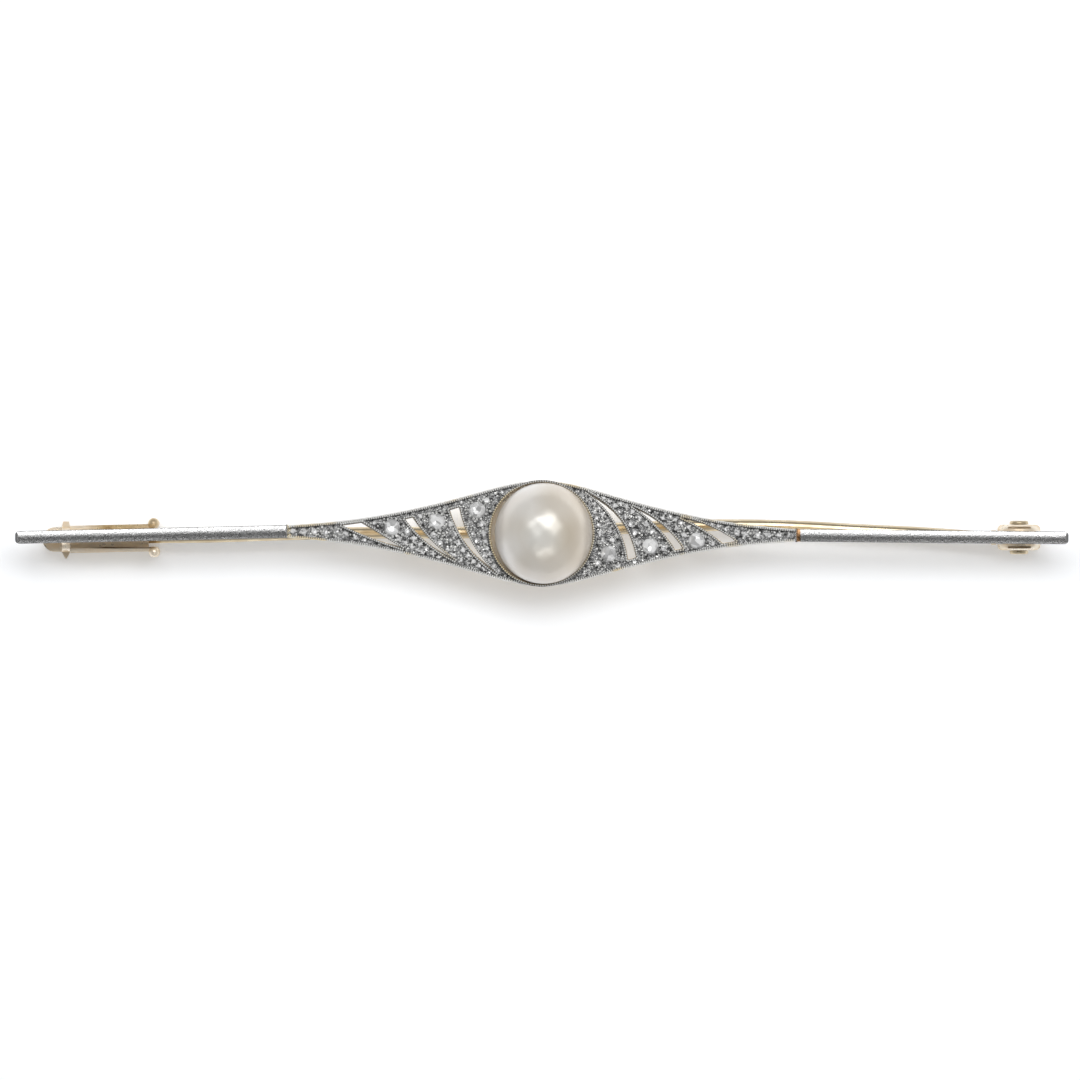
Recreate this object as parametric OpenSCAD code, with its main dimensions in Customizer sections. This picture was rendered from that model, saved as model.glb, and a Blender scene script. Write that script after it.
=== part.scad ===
// Bar brooch of platinum on gold: two slim bars, a pierced plaque set with old-cut
// stones, a button pearl in the middle, a hinged pin and a catch with a safety collar.
// Sizes are millimetres. The brooch lies on its back fittings with the front up.
// X runs along the bars, +Z points out of the front, the origin is below the middle.

/* [Overall] */
// Length of the brooch from end to end
brooch_len = 78; // [75:0.5:84]
// Height of the gold back above the surface that the brooch lies on
back_z = 3.7; // [3.6:0.1:4.4]
// Thickness of the gold back
gold_t = 0.5; // [0.4:0.05:0.7]
// Gap kept between separate pieces
piece_gap = 0.03; // [0.02:0.01:0.05]

/* [Bars] */
// Width of the bars
bar_w = 0.94; // [0.85:0.01:1.05]
// Thickness of the platinum on the bars
bar_t = 0.76; // [0.7:0.01:0.9]
// Radius of the rounded shoulders along the bars
shoulder_r = 0.16; // [0.15:0.01:0.3]
// Radius of the gentle dome across the bars' top
dome_r = 1.8; // [0.8:0.05:2]
// Radius of the rounded edge at the bars' outer ends
end_r = 0.3; // [0.2:0.01:0.4]
// Radius of the corners at the outer ends of the bars
bar_corner_r = 0.32; // [0.15:0.01:0.38]
// How far the left bar's end lies below its joint with the plaque
left_drop = 0.45; // [0:0.05:0.6]
// How far the right bar's end lies below its joint with the plaque
right_drop = 0.2; // [0:0.05:0.6]
// Width of the ridge where a bar meets the plaque
ridge_w = 0.16; // [0.1:0.01:0.24]
// How far that ridge stands out of the bar
ridge_proud = 0.04; // [0.02:0.01:0.1]

/* [Plaque] */
// Length of the pierced plaque
plaque_len = 37.7; // [36:0.1:40]
// Turn of the plaque against the X axis, in degrees
plaque_turn = 0.43; // [0:0.01:0.6]
// Thickness of the platinum plate under the rims
plate_t = 0.42; // [0.4:0.01:0.5]
// Height of the rims above the plate
rim_h = 0.28; // [0.2:0.01:0.32]
// Width of the rim along the plaque's edge
rim_w = 0.2; // [0.16:0.01:0.24]
// Width of the rims beside the windows
band_w = 0.14; // [0.1:0.01:0.16]
// Width of the gold that shows inside the windows
gold_show = 0.05; // [0.02:0.01:0.07]

/* [Pearl] */
// Radius of the pearl
pearl_r = 3.63; // [3.5:0.01:3.7]
// Height of the pearl above its widest part
pearl_top = 3.2; // [2.6:0.1:3.8]
// Depth of the pearl below its widest part
pearl_back = 2.2; // [2:0.1:2.3]
// Height of the pearl's widest part above the plate's underside
pearl_lift = 1; // [0.95:0.05:1.15]
// How far the pearl sits to the right in its setting
pearl_shift = 0.14; // [0:0.01:0.14]
// How far the setting's wall stands out past the plaque's edge
collet_proud = 0.03; // [0.01:0.01:0.05]
// Thickness of the setting's platinum wall
collet_wall = 0.1; // [0.08:0.01:0.12]
// Thickness of the setting's gold lining
liner_wall = 0.06; // [0.05:0.01:0.07]
// Height of the setting's wall above the plate's underside
collet_h = 1.02; // [0.8:0.02:1.1]
// Thickness of the gold cup behind the pearl
cup_t = 0.3; // [0.2:0.05:0.35]
// Radius of the peg that holds the pearl
peg_r = 0.4; // [0.3:0.05:0.6]
// Length of the peg inside the pearl
peg_len = 2; // [1.2:0.1:2.6]

/* [Stones] */
// Radius of the six main stones
main_r = 0.63; // [0.58:0.01:0.64]
// Radius of the largest small stones
small_r = 0.26; // [0.22:0.01:0.27]
// Height of a stone's crown, as a share of its radius
crown_share = 0.6; // [0.4:0.05:0.8]
// Height that a stone's girdle stands above the plate
girdle_lift = 0.07; // [0.05:0.01:0.1]
// Thickness of a stone's girdle
girdle_t = 0.04; // [0.03:0.01:0.06]

/* [Hinge] */
// Distance from the hinge to the right end of the brooch
hinge_inset = 3.6; // [3:0.1:4.5]
// Radius of the round hinge ears
ear_r = 1.6; // [1.5:0.05:1.7]
// Width across the flats of both ears
ear_span = 1.9; // [1.8:0.02:2.1]
// Radius of the rounded edge of each ear
ear_edge_r = 0.38; // [0.2:0.02:0.38]
// Width of the slit in the top of each ear
slit_w = 0.16; // [0.1:0.01:0.18]
// Length of that slit
slit_len = 1.7; // [1.2:0.1:2]
// Depth of that slit
slit_depth = 0.7; // [0.4:0.1:0.9]
// Thickness of the pin's knuckle between the ears
knuckle_w = 0.9; // [0.88:0.02:1]
// Radius of the pin's knuckle
knuckle_r = 0.92; // [0.8:0.02:0.96]
// Radius of the rivet's shaft
rivet_r = 0.38; // [0.3:0.02:0.42]
// Radius of the rivet's heads
head_r = 0.7; // [0.6:0.02:0.74]
// Thickness of the rivet's heads
head_t = 0.26; // [0.16:0.01:0.35]
// Radius of the rounded edge of the heads
head_edge_r = 0.14; // [0.06:0.01:0.15]
// Length of the neck between the ears and the bar
neck_len = 2.4; // [2:0.1:3]
// Play between the rivet and the knuckle
rivet_play = 0.03; // [0.02:0.01:0.06]
// Play at each side of the knuckle
knuckle_play = 0.05; // [0.03:0.01:0.08]

/* [Pin] */
// Radius of the pin's stem
stem_r = 0.44; // [0.36:0.01:0.46]
// Radius of the stem where the collar holds it
stem_thin_r = 0.26; // [0.2:0.01:0.28]
// Radius of the stem's point
stem_point_r = 0.07; // [0.05:0.01:0.1]
// How far the stem bows to the upper side
stem_bow = 0.96; // [0:0.02:1]
// Radius of the shoulder where the stem starts
stem_shoulder_r = 0.54; // [0.5:0.01:0.58]
// Length of that shoulder
stem_shoulder_len = 0.35; // [0.2:0.05:0.5]
// Distance from the point at which the stem has its full radius
thick_from = 12; // [9:0.5:16]
// Length of the pointed end
point_len = 2.4; // [2.2:0.1:3]

/* [Catch] */
// Distance from the catch's outer end to the left end of the brooch
catch_inset = 2; // [1.4:0.1:3]
// How far the catch sits below the middle of the bar
catch_offset = 0.22; // [0:0.02:0.24]
// Height of the pin's axis in the catch
catch_z = 1.2; // [1.1:0.05:1.3]
// Length of the catch's rounded end
end_len = 1.35; // [1.2:0.05:1.6]
// Width of the catch's rounded end
end_w = 1.82; // [1.6:0.02:1.9]
// Height of the catch's rounded end above the surface
end_h = 3; // [2.8:0.05:3.3]
// Length of the cheeks
cheek_len = 6.6; // [5.5:0.1:7.5]
// Width across the cheeks
cheek_span = 2.04; // [1.94:0.02:2.2]
// Height of the cheeks above the surface
cheek_h = 3.1; // [2.9:0.05:3.3]
// Thickness of a cheek
cheek_t = 0.36; // [0.3:0.02:0.42]
// Height of the web that joins the cheeks above the surface
web_z = 2.2; // [2.15:0.05:2.4]
// Thickness of the web
web_t = 0.5; // [0.4:0.02:0.6]
// Width of the spine between the web and the bar
spine_w = 0.8; // [0.6:0.02:0.86]
// Radius of the rolled ends of the cheeks
roll_r = 0.4; // [0.3:0.02:0.42]
// Thickness of the wall between the cheeks
wall_t = 0.4; // [0.3:0.02:0.5]
// Distance from the catch's outer end to the pin's point
tip_inset = 0.65; // [0.6:0.01:0.75]
// Room left beyond the pin's point
tip_room = 0.25; // [0.15:0.01:0.3]
// Width of the way that the pin passes through
pin_way_w = 0.84; // [0.78:0.02:0.88]
// Outer radius of the tube that the collar turns on
tube_r = 0.66; // [0.62:0.01:0.68]
// Play between the tube and the collar
collar_play = 0.04; // [0.02:0.01:0.06]
// Outer radius of the collar
collar_r = 0.95; // [0.9:0.01:1]
// Length of the collar along the pin
collar_w = 0.6; // [0.5:0.02:0.7]
// Reach of the collar's blunt lug from the pin's axis
blunt_reach = 1.34; // [1.1:0.02:1.4]
// Reach of the collar's pointed lug from the pin's axis
point_reach = 1.42; // [1.3:0.02:1.6]
// Thickness of the lugs
lug_t = 0.4; // [0.3:0.02:0.5]

/* [Hidden] */

// Faces round a full circle
round_fn = 64;
// Overlap of parts that are fused into one solid
fuse = 0.05;
// Gap between pieces that are pressed together
fit_gap = 0.01;
// Extra length of every cutter
past = 1;

platinum = [0.78, 0.79, 0.8];
gold = [0.86, 0.68, 0.42];
diamond = [0.92, 0.94, 0.97];
nacre = [0.93, 0.9, 0.85];

half_len = plaque_len / 2;
liner_r = pearl_r + pearl_shift + fit_gap + liner_wall;
collet_r = liner_r + fit_gap + collet_wall;
half_w = collet_r - collet_proud;
plate_z = back_z + gold_t;
floor_z = plate_z + plate_t;
girdle_z = floor_z + girdle_lift;

// Height of the plaque's edge at even steps from its middle to its end, as a share
// of the rise from the bar's edge to the widest place
EDGE_RISE = [1, 0.91, 0.73, 0.54, 0.375, 0.234, 0.125, 0.05, 0];
edge_steps = 24;

function rise(i) = EDGE_RISE[min(abs(i), len(EDGE_RISE) - 1)];
function through(a, b, c, d, t) =
    b + t * (c - a + t * (2 * a - 5 * b + 4 * c - d + t * (3 * (b - c) + d - a))) / 2;
function edge_y(x) =
    let (u = min(abs(x) / half_len, 1) * (len(EDGE_RISE) - 1))
    let (i = min(floor(u), len(EDGE_RISE) - 2))
    bar_w / 2 + (half_w - bar_w / 2)
        * through(rise(i - 1), rise(i), rise(i + 1), rise(i + 2), u - i);
function edge_places() =
    [for (k = [-edge_steps:edge_steps]) k / edge_steps * half_len];
function top_edge() = [for (x = edge_places()) [x, edge_y(x)]];
function reversed(list) = [for (i = [len(list) - 1:-1:0]) list[i]];

// Unit vector to the right of a path at one of its points
function right_of(path, i) =
    let (a = path[max(i - 1, 0)])
    let (b = path[min(i + 1, len(path) - 1)])
    [b.y - a.y, a.x - b.x] / norm(b - a);
// A strip of even width along the right of a path
function strip(path, w) =
    concat(path, reversed([for (i = [0:len(path) - 1]) path[i] + w * right_of(path, i)]));
// A path made longer at both ends, so that the strips along paths that meet overlap
function drawn_out(path, by) =
    let (last = len(path) - 1)
    concat(
        [path[0] + by * (path[0] - path[1]) / norm(path[0] - path[1])],
        path,
        [path[last] + by * (path[last] - path[last - 1]) / norm(path[last] - path[last - 1])]
    );
// A curve from a to b that bows to its right by a share of its length
function bowed(a, b, bow, steps) =
    let (mid = (a + b) / 2 + 2 * bow * [b.y - a.y, a.x - b.x])
    [for (k = [0:steps]) let (t = k / steps)
        (1 - t) * (1 - t) * a + 2 * t * (1 - t) * mid + t * t * b];

// Windows of each half, from the bar's side to the pearl's side. The right half is
// written as the left one turned half round. A place is 0 beside the pearl's setting and
// 1 at the bar, the margins are rim widths, and the bows are shares of an edge's length.
function outer_place(win) = win[0];
function inner_place(win) = win[1];
function tip_place(win) = win[2];
function top_margin(win) = win[3];
function tip_margin(win) = win[4];
function outer_bow(win) = win[5];
function inner_bow(win) = win[6];
LEFT_WINDOWS = [
    [0.731, 0.628, 0.424, 1.5, 1.9, 0.02, 0],
    [0.416, 0.375, 0.164, 3.0, 2.2, 0.06, 0.05],
    [0.195, 0.144, -0.046, 3.4, 1.8, 0.09, 0.088]
];
RIGHT_WINDOWS = [
    [0.701, 0.632, 0.427, 1.8, 1.5, 0.06, 0.04],
    [0.437, 0.398, 0.184, 2.4, 1.9, 0.08, 0.062],
    [0.206, 0.163, -0.045, 3.0, 1.4, 0.13, 0.11]
];
window_steps = 8;
// A sharp tip draws back this many times as far as the edges beside it
tip_draw = 6;

function place_x(place) = -collet_r - place * (half_len - collet_r);
function corner(win, x, inset_x, inset) =
    [x + inset_x, edge_y(x) - top_margin(win) * rim_w - inset];
function outer_corner(win, inset) = corner(win, place_x(outer_place(win)), inset, inset);
function inner_corner(win, inset) = corner(win, place_x(inner_place(win)), -inset, inset);
function tip(win, inset) =
    let (x = place_x(tip_place(win)))
    let (end = [x, tip_margin(win) * rim_w - edge_y(x)])
    let (back = inner_corner(win, 0) - end)
    end + tip_draw * inset * back / norm(back);
function outer_edge(win, inset = 0) =
    bowed(outer_corner(win, inset), tip(win, inset), outer_bow(win), window_steps);
function inner_edge(win, inset = 0) =
    bowed(inner_corner(win, inset), tip(win, inset), inner_bow(win), window_steps);
function window(win, inset) =
    let (inner = inner_edge(win, inset))
    concat(outer_edge(win, inset), [for (i = [window_steps - 1:-1:0]) inner[i]]);

// Main stones of each half, from the bar's side to the pearl's side, written as the
// windows are. Across, a place is a share of the half width; along, it is 0 at the
// setting's edge beside it and 1 at the bar.
LEFT_STONES = [[0.4806, 0.092], [0.2616, 0.208], [0.0796, 0.43]];
RIGHT_STONES = [[0.5062, 0.118], [0.2802, 0.232], [0.0853, 0.378]];
main_sides = 12;

// Runs of small stones of each half, with places as the main stones have. The bow is a
// share of the run, and the first and last radii are shares of the largest small stone's.
// A run of one stone has it at the first place.
function run_from(run) = place(run[0]);
function run_to(run) = place(run[1]);
function run_bow(run) = run[2];
function run_count(run) = run[3];
function run_first(run) = run[4] * small_r;
function run_last(run) = run[5] * small_r;
LEFT_RUNS = [
    [[0.9722, 0], [0.7571, 0], 0, 5, 0.96, 1.0],
    [[0.7116, -0.04], [0.582, -0.19], 0, 4, 0.92, 0.46],
    [[0.6188, 0.204], [0.5715, 0.168], 0, 2, 0.38, 0.69],
    [[0.4054, 0.02], [0.2476, -0.516], 0.05, 7, 0.85, 0.46],
    [[0.4482, -0.119], [0.3396, -0.394], 0, 5, 0.77, 0.5],
    [[0.3437, 0.3], [0.3301, 0.345], 0, 1, 0.77, 0.77],
    [[0.193, 0.16], [0.0744, -0.745], 0.1, 9, 1.0, 0.5],
    [[0.2753, -0.05], [0.1468, -0.58], 0.05, 6, 0.92, 0.58],
    [[0.1794, 0.58], [0.1432, 0.58], 0, 1, 0.65, 0.65],
    [[0.0625, 0.616], [0.0267, 0.771], 0, 2, 0.92, 0.5],
    [[0.0951, 0.171], [0.0248, -0.719], 0.084, 8, 0.77, 0.5],
    [[0.0367, 0.16], [0.015, -0.405], 0.03, 5, 0.92, 0.5]
];
RIGHT_RUNS = [
    [[0.9722, 0], [0.747, 0], 0, 5, 0.96, 1.0],
    [[0.7028, -0.04], [0.5834, -0.196], 0, 4, 0.92, 0.46],
    [[0.6262, 0.199], [0.5866, 0.17], 0, 2, 0.38, 0.77],
    [[0.4434, 0.021], [0.2653, -0.5], 0.045, 7, 0.77, 0.46],
    [[0.4637, -0.14], [0.3619, -0.394], 0, 5, 0.77, 0.5],
    [[0.348, 0.26], [0.3301, 0.345], 0, 1, 0.92, 0.92],
    [[0.2156, 0.156], [0.0897, -0.736], 0.1, 9, 0.88, 0.5],
    [[0.2854, -0.04], [0.1673, -0.58], 0.05, 6, 0.92, 0.54],
    [[0.2266, 0.524], [0.1594, 0.607], 0, 2, 0.77, 0.77],
    [[0.0557, 0.554], [0.0342, 0.756], 0, 2, 0.92, 0.5],
    [[0.0858, 0.12], [0.0354, -0.738], 0.09, 8, 0.85, 0.46],
    [[0.0367, 0.16], [0.019, -0.408], 0.03, 5, 0.85, 0.5]
];
small_sides = 8;

function windows_of(side) = side < 0 ? LEFT_WINDOWS : RIGHT_WINDOWS;
function runs_of(side) = side < 0 ? LEFT_RUNS : RIGHT_RUNS;
function place(p) =
    let (y = p.y * half_w)
    let (start = sqrt(max(collet_r * collet_r - y * y, 0)))
    [-start - p.x * (half_len - start), y];
function run_radius(run, k) =
    run_first(run) + (run_last(run) - run_first(run)) * k / max(run_count(run) - 1, 1);
function run_reach(run, k) =
    k < 1 ? 0 : run_reach(run, k - 1) + run_radius(run, k - 1) + run_radius(run, k);
// Stones along a run, spaced by their radii
function run_stones(run) =
    let (a = run_from(run), b = run_to(run), last = run_count(run) - 1)
    let (mid = (a + b) / 2 + 2 * run_bow(run) * [b.y - a.y, a.x - b.x])
    [for (k = [0:last])
        let (t = k == 0 ? 0 : run_reach(run, k) / run_reach(run, last))
        [(1 - t) * (1 - t) * a + 2 * t * (1 - t) * mid + t * t * b, run_radius(run, k)]];
function main_stone(side, i) = [place((side < 0 ? LEFT_STONES : RIGHT_STONES)[i]), main_r];
function small_stones_of(side) = [for (run = runs_of(side)) each run_stones(run)];

// Shares of a stone's radius
table_share = 0.5;
middle_share = 0.8;
middle_height = 0.62;
depth_share = 0.68;

function pavilion(r) = depth_share * r;
function seat_r(r) = r * (1 - girdle_lift / pavilion(r)) + piece_gap;
function ring(r, z, sides, turn) =
    [for (k = [0:sides - 1]) let (a = 360 * (k + turn) / sides) [r * cos(a), r * sin(a), z]];

// Right joint of the plaque is side 1, and the left joint is side -1
function joint_y(side) = -side * half_len * sin(plaque_turn);
function joint_x() = half_len * cos(plaque_turn);
function drop(side) = side > 0 ? right_drop : left_drop;
function bar_run() = brooch_len / 2 - joint_x();
function bar_angle(side) = atan(drop(side) / bar_run());
function bar_y(x) =
    let (side = sign(x))
    joint_y(side) - drop(side) * (abs(x) - joint_x()) / bar_run();

hinge_x = brooch_len / 2 - hinge_inset;
hinge_y = bar_y(hinge_x);
hinge_z = ear_r;
slot_half = knuckle_w / 2 + knuckle_play;
yoke_z = hinge_z + knuckle_r + 2 * knuckle_play;

catch_x = catch_inset - brooch_len / 2;
catch_y = bar_y(catch_x + end_len) - catch_offset;
collar_x = catch_x + end_len + knuckle_play;
cheek_x = collar_x + collar_w + knuckle_play;
cheek_end = cheek_x + cheek_len;
tip_x = catch_x + tip_inset;

stem_start = hinge_x - ear_r - 2 * knuckle_play - stem_shoulder_len;

module in_plaque() {
    rotate(-plaque_turn) children();
}

// One half of the plaque: the right one is the left one turned half round
module half(side) {
    rotate(side < 0 ? 0 : 180) children();
}

module at_bar(side) {
    translate([side * joint_x(), joint_y(side), 0])
        mirror([side < 0 ? 1 : 0, 0, 0])
            rotate(-bar_angle(side)) children();
}

module bar_plan(w) {
    reach = bar_run() / cos(bar_angle(1));
    translate([-fuse, -w / 2]) square([reach + fuse - bar_corner_r, w]);
    translate([0, bar_corner_r - w / 2]) square([reach, w - 2 * bar_corner_r]);
    for (s = [-1, 1])
        translate([reach - bar_corner_r, s * (w / 2 - bar_corner_r)])
            circle(r = bar_corner_r, $fn = round_fn);
}

// Bar section: flat below, with rounded shoulders and a domed top
module bar_section() {
    intersection() {
        union() {
            translate([-bar_w / 2, 0]) square([bar_w, bar_t - shoulder_r]);
            translate([shoulder_r - bar_w / 2, 0]) square([bar_w - 2 * shoulder_r, bar_t]);
            for (s = [-1, 1])
                translate([s * (bar_w / 2 - shoulder_r), bar_t - shoulder_r])
                    circle(r = shoulder_r, $fn = round_fn);
        }
        translate([0, bar_t - dome_r]) circle(r = dome_r, $fn = round_fn);
    }
}

// The bar from the side, with its outer end rounded at the top
module bar_profile() {
    reach = bar_run() / cos(bar_angle(1));
    translate([-fuse, 0]) square([reach + fuse - end_r, bar_t]);
    square([reach, bar_t - end_r]);
    translate([reach - end_r, bar_t - end_r]) circle(r = end_r, $fn = round_fn);
}

module platinum_bar(side) {
    at_bar(side) translate([0, 0, plate_z]) {
        intersection() {
            translate([-past, 0, 0])
                rotate([90, 0, 90]) linear_extrude(bar_run() + 2 * past) bar_section();
            translate([0, bar_w, 0]) rotate([90, 0, 0]) linear_extrude(2 * bar_w) bar_profile();
            linear_extrude(bar_t) bar_plan(bar_w);
        }
        translate([-ridge_w / 2, -bar_w / 2 - ridge_proud, 0])
            cube([ridge_w, bar_w + 2 * ridge_proud, bar_t + ridge_proud]);
    }
}

module plaque_outline() {
    polygon(concat(top_edge(), [for (p = top_edge()) -p]));
}

module windows(inset) {
    for (side = [-1, 1]) half(side)
        for (win = windows_of(side)) polygon(window(win, inset));
}

// Seats that the stones' backs rest in, or the wider holes that clear their girdles
module seats(clear_girdle) {
    for (side = [-1, 1]) half(side) {
        for (i = [0:2]) let (s = main_stone(side, i))
            translate(s[0])
                circle(r = clear_girdle ? s[1] + piece_gap : seat_r(s[1]), $fn = main_sides);
        for (s = small_stones_of(side))
            translate(s[0])
                circle(r = clear_girdle ? s[1] + piece_gap : seat_r(s[1]), $fn = small_sides);
    }
}

module rims() {
    for (side = [-1, 1]) half(side) {
        polygon(strip(top_edge(), rim_w));
        for (win = windows_of(side)) {
            top = [inner_corner(win, 0), outer_corner(win, 0)];
            for (path = [outer_edge(win), reversed(inner_edge(win)), top])
                polygon(strip(drawn_out(path, band_w), band_w));
        }
    }
}

module platinum_front() {
    color(platinum) {
        for (side = [-1, 1]) platinum_bar(side);
        in_plaque() {
            translate([0, 0, plate_z]) linear_extrude(plate_t) difference() {
                plaque_outline();
                windows(0);
                seats(false);
                circle(r = collet_r - collet_wall, $fn = round_fn);
            }
            translate([0, 0, floor_z]) linear_extrude(rim_h) difference() {
                intersection() {
                    rims();
                    plaque_outline();
                }
                windows(0);
                seats(true);
                circle(r = collet_r - collet_wall, $fn = round_fn);
            }
        }
        translate([0, 0, plate_z]) linear_extrude(collet_h) difference() {
            circle(r = collet_r, $fn = round_fn);
            circle(r = collet_r - collet_wall, $fn = round_fn);
        }
    }
}

pearl_z = plate_z + pearl_lift;
profile_steps = 14;

// Quarter of the pearl's outline, grown by a margin, from the axis to the widest place
function back_curve(grow) =
    [for (k = [0:profile_steps]) let (a = 90 * k / profile_steps)
        [(pearl_r + grow) * sin(a), pearl_z - (pearl_back + grow) * cos(a)]];
function front_curve() =
    [for (k = [profile_steps - 1:-1:0]) let (a = 90 * k / profile_steps)
        [pearl_r * sin(a), pearl_z + pearl_top * cos(a)]];

// The cup behind the pearl, with the peg that holds the pearl
module pearl_cup() {
    translate([pearl_shift, 0, 0]) {
        rotate_extrude($fn = round_fn) intersection() {
            difference() {
                union() {
                    polygon(concat(back_curve(piece_gap + cup_t), [[0, pearl_z]]));
                    translate([0, back_z]) square([liner_r - pearl_shift - fuse, gold_t]);
                }
                polygon(concat(back_curve(piece_gap), [[0, pearl_z]]));
            }
            square([liner_r, plate_z]);
        }
        translate([0, 0, pearl_z - pearl_back - cup_t / 2])
            cylinder(r = peg_r, h = peg_len, $fn = round_fn);
    }
}

module gold_plaque() {
    in_plaque() translate([0, 0, back_z]) linear_extrude(gold_t) difference() {
        plaque_outline();
        windows(gold_show);
        circle(r = liner_r - 2 * pearl_shift - 2 * fuse, $fn = round_fn);
    }
    translate([0, 0, back_z]) linear_extrude(gold_t + collet_h - collet_wall) difference() {
        circle(r = liner_r, $fn = round_fn);
        circle(r = liner_r - liner_wall, $fn = round_fn);
    }
}

module gold_bar(side) {
    at_bar(side) translate([0, 0, back_z]) linear_extrude(gold_t) bar_plan(bar_w);
}

// A disc that stands on z = 0, with a rounded upper edge
module round_disc(r, h, edge_r) {
    rotate_extrude($fn = round_fn) {
        square([r - edge_r, h]);
        square([r, h - edge_r]);
        translate([r - edge_r, h - edge_r]) circle(r = edge_r, $fn = round_fn);
    }
}

// Round ears, cut by the slot of the knuckle, on a neck below the bar
module hinge_ears() {
    // Each slit lies in the middle of its ear's thickness
    slit_y = (slot_half + ear_span / 2) / 2;
    translate([hinge_x, hinge_y, hinge_z]) difference() {
        union() {
            for (s = [-1, 1])
                rotate([-90 * s, 0, 0]) round_disc(ear_r, ear_span / 2, ear_edge_r);
            translate([-neck_len / 2, -bar_w / 2, 0]) cube([neck_len, bar_w, back_z - hinge_z + fuse]);
        }
        translate([-ear_r - past, -slot_half, -ear_r - past])
            cube([2 * (ear_r + past), 2 * slot_half, ear_r + past + yoke_z - hinge_z]);
        for (s = [-1, 1])
            translate([-slit_len / 2, s * slit_y - slit_w / 2, ear_r - slit_depth])
                cube([slit_len, slit_w, slit_depth + past]);
        rotate([90, 0, 0])
            cylinder(r = rivet_r + piece_gap / 2, h = 3 * ear_span, center = true, $fn = round_fn);
    }
}

// The open way of the pin through the catch: round above, open below
module pin_way(x0, x1) {
    translate([x0, catch_y, catch_z]) {
        rotate([0, 90, 0]) cylinder(r = pin_way_w / 2, h = x1 - x0, $fn = round_fn);
        translate([0, -pin_way_w / 2, -catch_z - past]) cube([x1 - x0, pin_way_w, catch_z + past]);
    }
}

// The rounded end: a half round block with the pin's way cut into it
module catch_end() {
    difference() {
        translate([catch_x, catch_y, 0]) linear_extrude(end_h) intersection() {
            union() {
                translate([end_w / 2, 0]) circle(r = end_w / 2, $fn = round_fn);
                translate([end_w / 2, -end_w / 2]) square([end_len, end_w]);
            }
            translate([0, -end_w]) square([end_len, 2 * end_w]);
        }
        pin_way(tip_x - tip_room, catch_x + end_len + past);
    }
}

// The tube that the collar turns on, open below
module collar_tube() {
    difference() {
        translate([catch_x + end_len - fuse, catch_y, catch_z])
            rotate([0, 90, 0])
                cylinder(r = tube_r, h = cheek_x - catch_x - end_len + 2 * fuse, $fn = round_fn);
        pin_way(catch_x, cheek_x + wall_t + past);
    }
}

// Both cheeks with their rolled ends, the web and the wall, in line with the bar
module cheeks() {
    difference() {
        translate([cheek_x, catch_y, 0]) rotate(bar_angle(-1)) {
            for (s = [-1, 1]) {
                translate([0, s * (cheek_span - cheek_t) / 2 - cheek_t / 2, 0])
                    cube([cheek_len - roll_r, cheek_t, cheek_h]);
                translate([cheek_len - roll_r, s * (cheek_span / 2 - cheek_t + roll_r), 0]) {
                    cylinder(r = roll_r, h = cheek_h, $fn = round_fn);
                    translate([0, 0, cheek_h]) sphere(r = roll_r, $fn = round_fn);
                }
            }
            translate([0, -cheek_span / 2, web_z]) cube([cheek_len - 2 * roll_r, cheek_span, web_t]);
            translate([0, -cheek_span / 2, 0]) cube([wall_t, cheek_span, web_z + web_t]);
        }
        pin_way(cheek_x - past, cheek_x + wall_t + past);
    }
}

// The block between the catch and the bar that carries it
module spine() {
    x0 = catch_x + end_w / 2;
    translate([x0, catch_y + catch_offset, 0]) rotate(bar_angle(-1))
        translate([0, -spine_w / 2, end_h - fuse])
            cube([cheek_end - 2 * roll_r - x0, spine_w, back_z - end_h + 2 * fuse]);
    translate([cheek_x, catch_y + catch_offset, 0]) rotate(bar_angle(-1))
        translate([0, -spine_w / 2, web_z + web_t - fuse])
            cube([cheek_len - 2 * roll_r, spine_w, back_z - web_z - web_t + 2 * fuse]);
}

module catch() {
    catch_end();
    collar_tube();
    cheeks();
    spine();
}

module gold_back() {
    color(gold) {
        for (side = [-1, 1]) gold_bar(side);
        gold_plaque();
        pearl_cup();
        hinge_ears();
        catch();
    }
}

module pearl() {
    color(nacre) translate([pearl_shift, 0, 0]) difference() {
        rotate_extrude($fn = round_fn) polygon(concat(back_curve(0), front_curve()));
        translate([0, 0, pearl_z - pearl_back - past])
            cylinder(r = peg_r + piece_gap, h = peg_len + past + piece_gap, $fn = round_fn);
    }
}

// A faceted stone: culet, girdle band, a ring of middle corners and a flat table
module stone(r, sides) {
    n = sides;
    crown = crown_share * r;
    points = concat(
        [[0, 0, -pavilion(r)]],
        ring(r, 0, n, 0),
        ring(r, girdle_t, n, 0),
        ring(middle_share * r, girdle_t + middle_height * crown, n, 0.5),
        ring(table_share * r, girdle_t + crown, n, 0)
    );
    faces = concat(
        [for (k = [0:n - 1]) let (j = (k + 1) % n) each [
            [0, 1 + k, 1 + j],
            [1 + j, 1 + k, 1 + n + k], [1 + j, 1 + n + k, 1 + n + j],
            [1 + n + j, 1 + n + k, 1 + 2 * n + k],
            [1 + n + j, 1 + 2 * n + k, 1 + 2 * n + j],
            [1 + 2 * n + k, 1 + 3 * n + j, 1 + 2 * n + j],
            [1 + 2 * n + k, 1 + 3 * n + k, 1 + 3 * n + j]
        ]],
        [[for (k = [n - 1:-1:0]) 1 + 3 * n + k]]
    );
    polyhedron(points, faces);
}

module place_stone(s, sides, side) {
    in_plaque() half(side)
        translate([s[0].x, s[0].y, girdle_z]) stone(s[1], sides);
}

module main_stone_node(side, i) {
    color(diamond) place_stone(main_stone(side, i), main_sides, side);
}

module small_stones(side) {
    color(diamond) for (s = small_stones_of(side)) place_stone(s, small_sides, side);
}

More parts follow.
